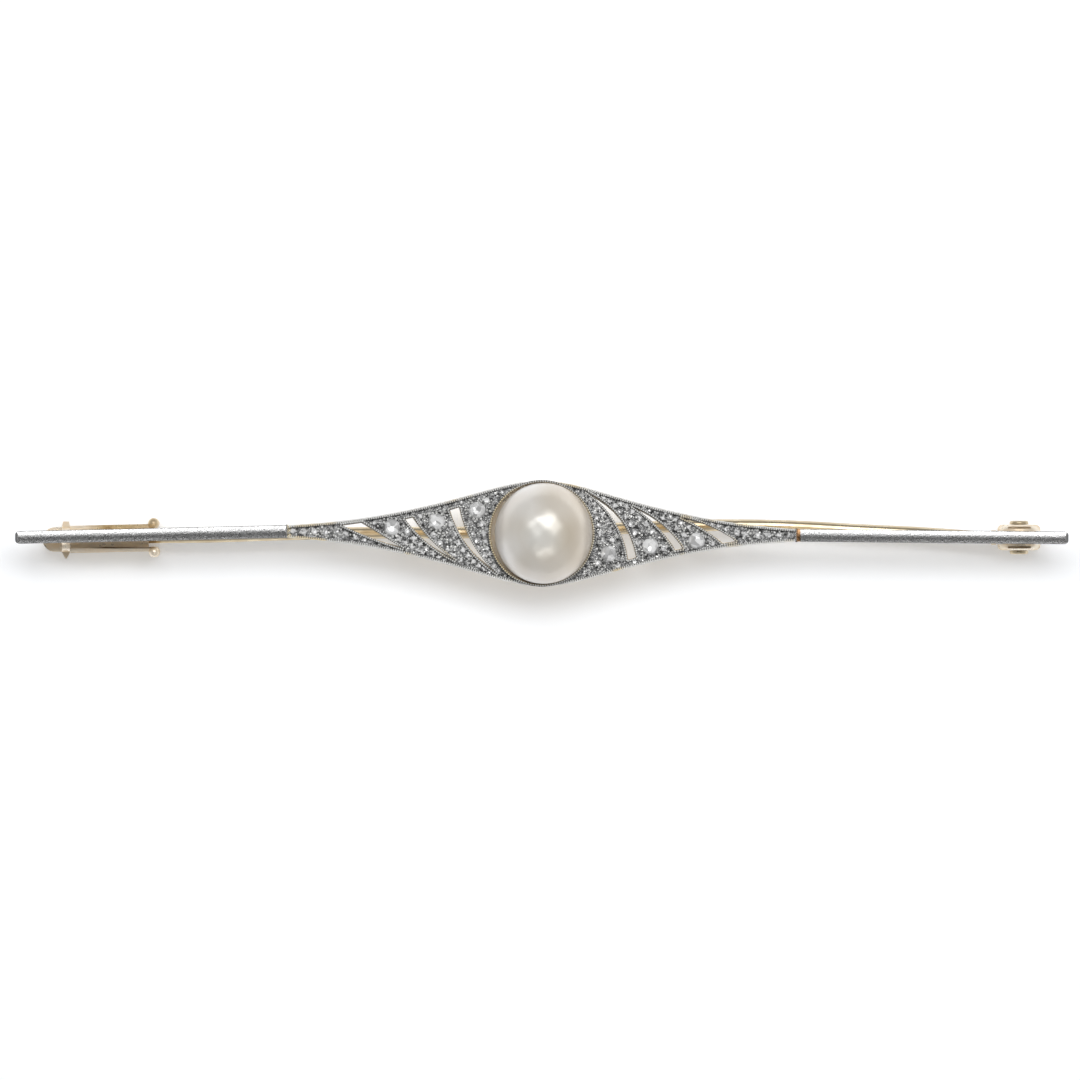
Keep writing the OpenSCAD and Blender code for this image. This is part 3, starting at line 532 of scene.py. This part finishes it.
def wire_piece(name, paths, mat, slot, offset, radius, z):
    """Round wires sunk along the right of the given plaque paths."""
    sides = BEAD_SIDES
    vertices, faces = [], []
    for path in paths:
        path = np.asarray(path)
        steps = np.gradient(path, axis=0)
        steps /= np.linalg.norm(steps, axis=1)[:, None]
        right = np.stack([steps[:, 1], -steps[:, 0]], 1)
        start = len(vertices)
        for p, side in zip(path, right):
            for k in range(sides):
                a = 2 * math.pi * k / sides
                x, y = to_brooch(p + (offset + radius * math.cos(a)) * side)
                vertices.append((x, y, z + radius * math.sin(a)))
        for i in range(len(path) - 1):
            for k in range(sides):
                a, b = start + i * sides + k, start + i * sides + (k + 1) % sides
                faces.append((a, a + sides, b + sides, b))
        last = start + (len(path) - 1) * sides
        faces.append(tuple(range(start, start + sides)))
        faces.append(tuple(reversed(range(last, last + sides))))
    return add_piece(name, vertices, faces, mat, "brooch")


def outline_paths():
    xs = np.linspace(-HALF_LEN, HALF_LEN, OUTLINE_STEPS)
    top = np.array([(x, edge_y(x)) for x in xs])
    return [top, -top]


def inside_outline(p, margin):
    """True if a plaque point lies inside the outline by more than the margin."""
    return abs(p[0]) < HALF_LEN and abs(p[1]) < edge_y(p[0]) - margin


def window_bead_fits(p):
    return inside_outline(p, WINDOW_TO_OUTLINE) and np.hypot(*p) > COLLET_R + WINDOW_TO_COLLET


def collet_ring():
    """Even beads on top of the wall round the pearl."""
    count = int(2 * math.pi * COLLET_R / COLLET_BEADS["pitch"])
    ring_r = COLLET_R - COLLET_BEADS["radius"] - COLLET_BEADS["inset"]
    angles = [2 * math.pi * k / count for k in range(count)]
    size = (COLLET_BEADS["z"], COLLET_BEADS["radius"], COLLET_BEADS["height"])
    return [(ring_r * math.cos(a), ring_r * math.sin(a), *size) for a in angles]


outline_beads = []
for path in outline_paths():
    outline_beads += row(path, **OUTLINE_BEADS)
window_beads = []
for side, win in WINDOWS:
    for path in window_edges(win):
        window_beads += row(half_turn(path, side), keep=window_bead_fits, **WINDOW_BEADS)

bead_piece("outline_milgrain", outline_beads, MILGRAIN)
wire_piece("outline_edge", outline_paths(), MILGRAIN, "platinum", **EDGE_WIRE)
bead_piece("window_milgrain", window_beads, MILGRAIN)
bead_piece("collet_milgrain", collet_ring(), COLLET_GOLD)


def islands(node):
    """Centre and radius, in millimetres, of each loose stone in a node."""
    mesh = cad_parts[node].data
    co = np.array([v.co for v in mesh.vertices]) / MM
    parent = list(range(len(co)))

    def root(i):
        while parent[i] != i:
            parent[i] = parent[parent[i]]
            i = parent[i]
        return i

    first_at = {}
    for i, c in enumerate(co):
        key = tuple(np.round(c, 4))
        parent[root(i)] = root(first_at.setdefault(key, i))
    for e in mesh.edges:
        parent[root(e.vertices[0])] = root(e.vertices[1])
    groups = {}
    for i in range(len(co)):
        groups.setdefault(root(i), []).append(i)
    found = []
    for members in groups.values():
        low, high = co[members].min(0), co[members].max(0)
        middle, size = (low + high) / 2, high - low
        found.append((middle[0], middle[1], (size[0] + size[1]) / 4))
    return sorted(found)


MAIN_NODES = [f"stone_{side}_{i}" for side in ("left", "right") for i in (1, 2, 3)]
SMALL_NODES = ["small_stones_left", "small_stones_right"]
main_stones = [s for n in MAIN_NODES for s in islands(n)]
small_stones = [s for n in SMALL_NODES for s in islands(n)]


def distance_to_path(p, path):
    a, b = path[:-1], path[1:]
    d = b - a
    t = np.clip(((p - a) * d).sum(1) / (d * d).sum(1), 0, 1)
    return np.sqrt(((p - a - t[:, None] * d) ** 2).sum(1)).min()


def in_polygon(p, poly):
    inside = False
    for (x0, y0), (x1, y1) in zip(poly, np.roll(poly, -1, 0)):
        if (y0 > p[1]) != (y1 > p[1]) and p[0] < (x1 - x0) * (p[1] - y0) / (y1 - y0) + x0:
            inside = not inside
    return inside


WINDOW_LOOPS = []
for side, win in WINDOWS:
    left, right, _ = window_edges(win)
    WINDOW_LOOPS.append(half_turn(np.concatenate([left, right[1:]]), side))


def free(p, r):
    """True if a grain of radius r fits at plaque point p between rims, windows and collet."""
    if not inside_outline(p, RIM_W + 0.7 * r) or np.hypot(*p) < COLLET_R + 0.6 * r:
        return False
    for loop in WINDOW_LOOPS:
        if loop[:, 0].min() - 0.4 < p[0] < loop[:, 0].max() + 0.4:
            if in_polygon(p, loop) or distance_to_path(p, np.vstack([loop, loop[:1]])) < BAND_W + 0.9 * r:
                return False
    return True


def from_brooch(x, y):
    """The brooch's own coordinates to plaque coordinates."""
    c, s = math.cos(TURN), math.sin(TURN)
    return np.array([c * x + s * y, -s * x + c * y])


# Grains that hold the stones, then grains that fill the ground between them;
# a grain is x, y, z of its middle, radius and height
grains = []
for x, y, r in small_stones:
    start = random.uniform(0, 2 * math.pi)
    for k in range(SMALL_HOLDS):
        a = start + k * 2 * math.pi / SMALL_HOLDS + random.uniform(-HOLD_JITTER, HOLD_JITTER)
        g = random.uniform(*SMALL_HOLD_R)
        gx, gy = x + (r + 0.3 * g) * math.cos(a), y + (r + 0.3 * g) * math.sin(a)
        if free(from_brooch(gx, gy), g):
            grains.append((gx, gy, FLOOR_Z + 0.1, g, 0.11))
for x, y, r in main_stones:
    for k in range(MAIN_HOLDS):
        a = 2 * math.pi * (k + random.uniform(-HOLD_JITTER, HOLD_JITTER)) / MAIN_HOLDS
        g = random.uniform(*MAIN_HOLD_R)
        gx, gy = x + (r + 0.07) * math.cos(a), y + (r + 0.07) * math.sin(a)
        if free(from_brooch(gx, gy), 0):
            grains.append((gx, gy, FLOOR_Z + 0.12, g, 0.12))
stones = np.array(main_stones + small_stones)
# The main stones stand in a dark gap that only their own grains reach into
gaps = np.array([MAIN_GAP] * len(main_stones) + [0.0] * len(small_stones))
for _ in range(FILL_TRIES):
    x = random.uniform(-HALF_LEN, HALF_LEN)
    y = random.uniform(-HALF_W, HALF_W)
    g = random.uniform(*FILL_R)
    if abs(y) > edge_y(x):
        continue
    if (np.hypot(stones[:, 0] - x, stones[:, 1] - y) < stones[:, 2] + gaps + 0.4 * g).any():
        continue
    if perlin(Vector((BARE_SCALE * x, BARE_SCALE * y, 0))) < BARE_BELOW:
        continue
    if any(abs(x - q[0]) < 0.3 and math.hypot(x - q[0], y - q[1]) < 0.85 * (g + q[3]) for q in grains):
        continue
    if free(from_brooch(x, y), g):
        grains.append((x, y, FLOOR_Z + random.uniform(0, 0.1), g, g * random.uniform(0.7, 1.2)))
chip_piece("setting_grains", grains, GRAIN)


# Pearl

# Waves of the pearl's skin: direction and number to a millimetre, and depth in millimetres
PEARL_WAVES = [((0.42, 0.12, 0.1), 0.016), ((-0.2, 0.4, 0.1), 0.016), ((0.3, -0.55, 0.2), 0.01),
               ((-0.6, -0.35, 0.3), 0.008), ((0.7, 0.6, 0.1), 0.006), ((-0.75, 0.7, 0.2), 0.005)]
PEARL_SIDES = 160
PEARL_RINGS = 100


def pearl_dent(point):
    """How far the skin of the crown lies under the full form at a point, in millimetres."""
    height = max(point[2] / PEARL["top"], 0)
    waves = (depth * (1 + math.sin(2 * math.pi * np.dot(way, point))) for way, depth in PEARL_WAVES)
    return height * height * sum(waves)


def pearl_piece():
    """The button pearl with its uneven crown, in place of the plain CAD one."""
    sides, rings = PEARL_SIDES, PEARL_RINGS
    points, faces = [(PEARL["x"], 0, PEARL["z"] - PEARL["back"])], []
    for j in range(1, rings):
        a = -math.pi / 2 + math.pi * j / rings
        lift = PEARL["top"] if a > 0 else PEARL["back"]
        for k in range(sides):
            b = 2 * math.pi * k / sides
            ways = (math.cos(a) * math.cos(b), math.cos(a) * math.sin(b), math.sin(a))
            full = np.array(ways) * (PEARL["r"], PEARL["across"], lift)
            points.append(tuple((PEARL["x"], 0, PEARL["z"]) + full - np.array(ways) * pearl_dent(full)))
    crown = np.array((0, 0, PEARL["top"]))
    points.append((PEARL["x"], 0, PEARL["z"] + PEARL["top"] - pearl_dent(crown)))
    last = len(points) - 1
    faces += [(0, 1 + (k + 1) % sides, 1 + k) for k in range(sides)]
    for j in range(rings - 2):
        a, b = 1 + j * sides, 1 + (j + 1) * sides
        faces += [(a + k, a + (k + 1) % sides, b + (k + 1) % sides, b + k) for k in range(sides)]
    a = 1 + (rings - 2) * sides
    faces += [(a + k, a + (k + 1) % sides, last) for k in range(sides)]
    piece = add_piece("pearl_skin", points, faces, PEARL_MATERIAL, "brooch")
    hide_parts("pearl")


pearl_piece()

dress("pearl", PEARL_MATERIAL)
dress("platinum_front", PLATINUM)
for node in ("gold_back", "safety_collar"):
    dress(node, BACK_GOLD)
for node in ("pin_stem", "hinge_rivet"):
    dress(node, STEM_GOLD)
for node in MAIN_NODES:
    dress(node, DIAMOND)
for node in SMALL_NODES:
    dress(node, SMALL_DIAMOND)


# Studio and camera

# The floor is a lit sheet, so that its shadows stay soft and pale
FLOOR_GLOW = 0.23
# Half its width in metres, and how far it lies under the brooch in millimetres
FLOOR_HALF = 1.5
FLOOR_DROP = 0.02


def floor():
    mesh = bpy.data.meshes.new("floor")
    s = FLOOR_HALF
    mesh.from_pydata([(-s, -s, 0), (s, -s, 0), (s, s, 0), (-s, s, 0)], [], [(0, 1, 2, 3)])
    mat, nodes, links, shader = node_material("floor")
    shade = ramp(nodes, links, noise(nodes, links, 0.02, 2),
                 [(0.3, (0.85, 0.87, 0.90)), (0.7, (0.86, 0.88, 0.91))])
    links.new(shade, shader.inputs["Base Color"])
    shader.inputs["Roughness"].default_value = 0.9
    shader.inputs["Specular IOR Level"].default_value = 0.1
    shader.inputs["Emission Color"].default_value = (1, 1, 1, 1)
    shader.inputs["Emission Strength"].default_value = FLOOR_GLOW
    mesh.materials.append(mat)
    obj = bpy.data.objects.new("floor", mesh)
    obj.location.z = -FLOOR_DROP * MM
    bpy.context.scene.collection.objects.link(obj)


# A dark card hangs where the camera is, so that what faces straight up reflects it
CARD_AXIS = (0, -0.24, 0.97)
CARD_TONE = (0.06, 0.06, 0.06)


def studio_light():
    """Grey surroundings, darkest towards +Y, with the dark card overhead."""
    world = bpy.data.worlds.new("studio")
    bpy.context.scene.world = world
    world.use_nodes = True
    nodes, links = world.node_tree.nodes, world.node_tree.links
    coords = nodes.new("ShaderNodeTexCoord")
    place = nodes.new("ShaderNodeSeparateXYZ")
    links.new(coords.outputs["Generated"], place.inputs["Vector"])
    side = nodes.new("ShaderNodeMapRange")
    side.inputs["From Min"].default_value = -1
    links.new(place.outputs["Y"], side.inputs["Value"])
    surroundings = ramp(nodes, links, side.outputs["Result"], [(0.0, 0.42), (0.5, 0.42), (1.0, 0.32)])
    towards_card = nodes.new("ShaderNodeVectorMath")
    towards_card.operation = "DOT_PRODUCT"
    towards_card.inputs[1].default_value = CARD_AXIS
    links.new(coords.outputs["Generated"], towards_card.inputs[0])
    card = ramp(nodes, links, towards_card.outputs["Value"], [(0.8, 0.0), (0.88, 1.0)])
    backdrop = nodes["Background"]
    links.new(blend(nodes, links, card, surroundings, CARD_TONE), backdrop.inputs["Color"])
    backdrop.inputs["Strength"].default_value = 1.0


def soft_box(name, place, size, power, mirrored=True):
    """An area light aimed at the brooch; where it isn't mirrored, it only lights matt things."""
    light = bpy.data.lights.new(name, "AREA")
    light.shape = "RECTANGLE"
    light.size, light.size_y = size
    light.energy = power
    obj = bpy.data.objects.new(name, light)
    obj.location = place
    obj.rotation_euler = (Vector((0, 0, 0)) - Vector(place)).to_track_quat("-Z", "Y").to_euler()
    obj.visible_glossy = mirrored
    bpy.context.scene.collection.objects.link(obj)


# Camera: metres from the plaque, width of the frame and place of its middle in millimetres, sensor
CAMERA_DISTANCE = 1.5
FRAME_WIDTH = 79.96
FRAME_MIDDLE = (-0.13, -0.489, 4.6)
SENSOR = 36


def camera():
    """Straight above the brooch, with the photo's frame."""
    cam = bpy.data.cameras.new("camera")
    cam.sensor_width = SENSOR
    cam.lens = SENSOR * CAMERA_DISTANCE / (FRAME_WIDTH * MM)
    cam.clip_start = 0.01
    obj = bpy.data.objects.new("camera", cam)
    x, y, z = FRAME_MIDDLE
    obj.location = (x * MM, y * MM, z * MM + CAMERA_DISTANCE)
    obj.rotation_euler = (0, 0, 0)
    bpy.context.scene.collection.objects.link(obj)
    bpy.context.scene.camera = obj


floor()
studio_light()
soft_box("key_light", (0.03, 0.2, 0.52), (0.45, 0.33), 1.38, mirrored=False)
soft_box("band_light", (0.03, 0.2, 0.5), (0.45, 0.17), 0.85)
soft_box("fill_light", (0.02, -0.35, 0.5), (0.26, 0.12), 0.33)
camera()
bpy.context.scene.view_settings.view_transform = "Standard"
